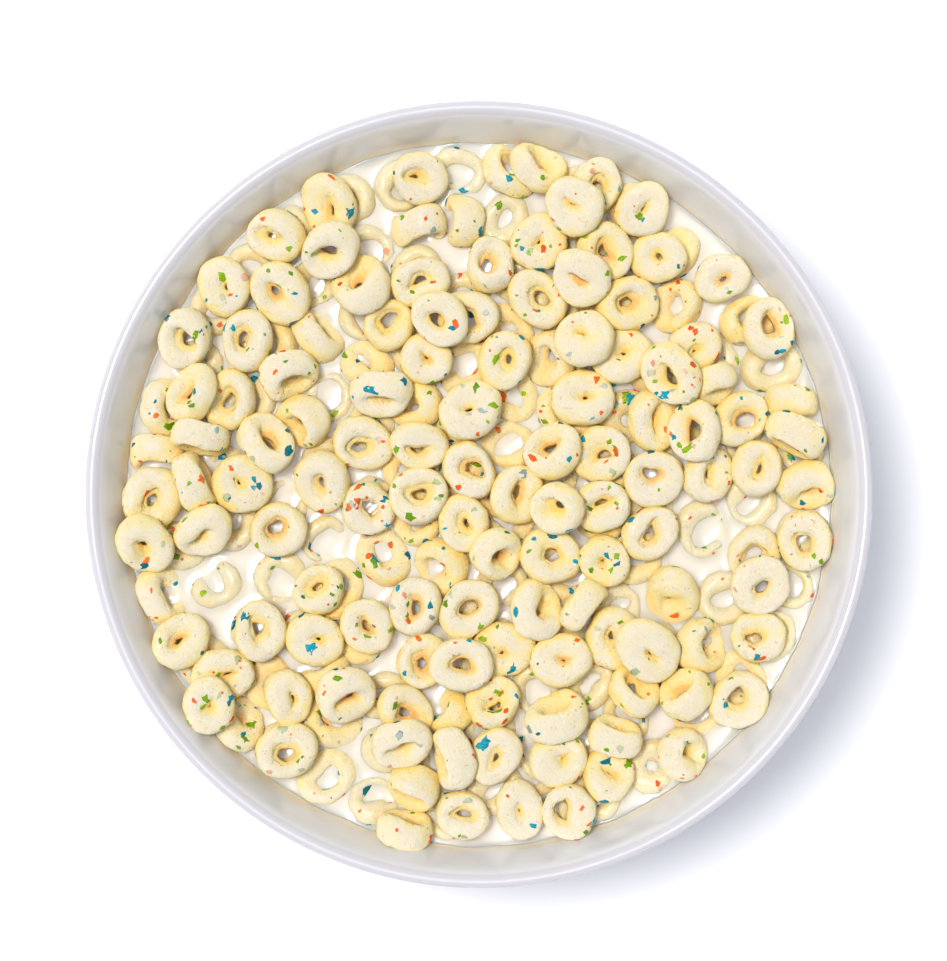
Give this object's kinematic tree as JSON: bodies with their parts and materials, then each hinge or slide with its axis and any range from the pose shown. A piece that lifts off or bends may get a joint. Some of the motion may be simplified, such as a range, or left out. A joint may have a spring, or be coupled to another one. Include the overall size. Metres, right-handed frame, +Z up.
{
  "type": "bowl of cereal with milk",
  "caption": "Round white cereal bowl on a foot ring, filled with milk and a floating heap of puffed cereal rings with coloured flecks",
  "frame": {"origin": "centre of the plane that the bowl's foot ring stands on", "axes": "+Z is up along the bowl's axis; +X points to the right and +Y to the top of the view from above"},
  "size_m": [0.162, 0.162, 0.062],
  "materials": {
    "bowl_glaze": "glossy white glaze",
    "milk": "wet, opaque white liquid",
    "cereal": "dry puffed cereal, fine-grained and matt, with coloured flecks"
  },
  "bodies": {
    "root": {"bowl": "bowl_glaze", "milk": "milk", "cereal": "cereal"}
  },
  "joints": []
}
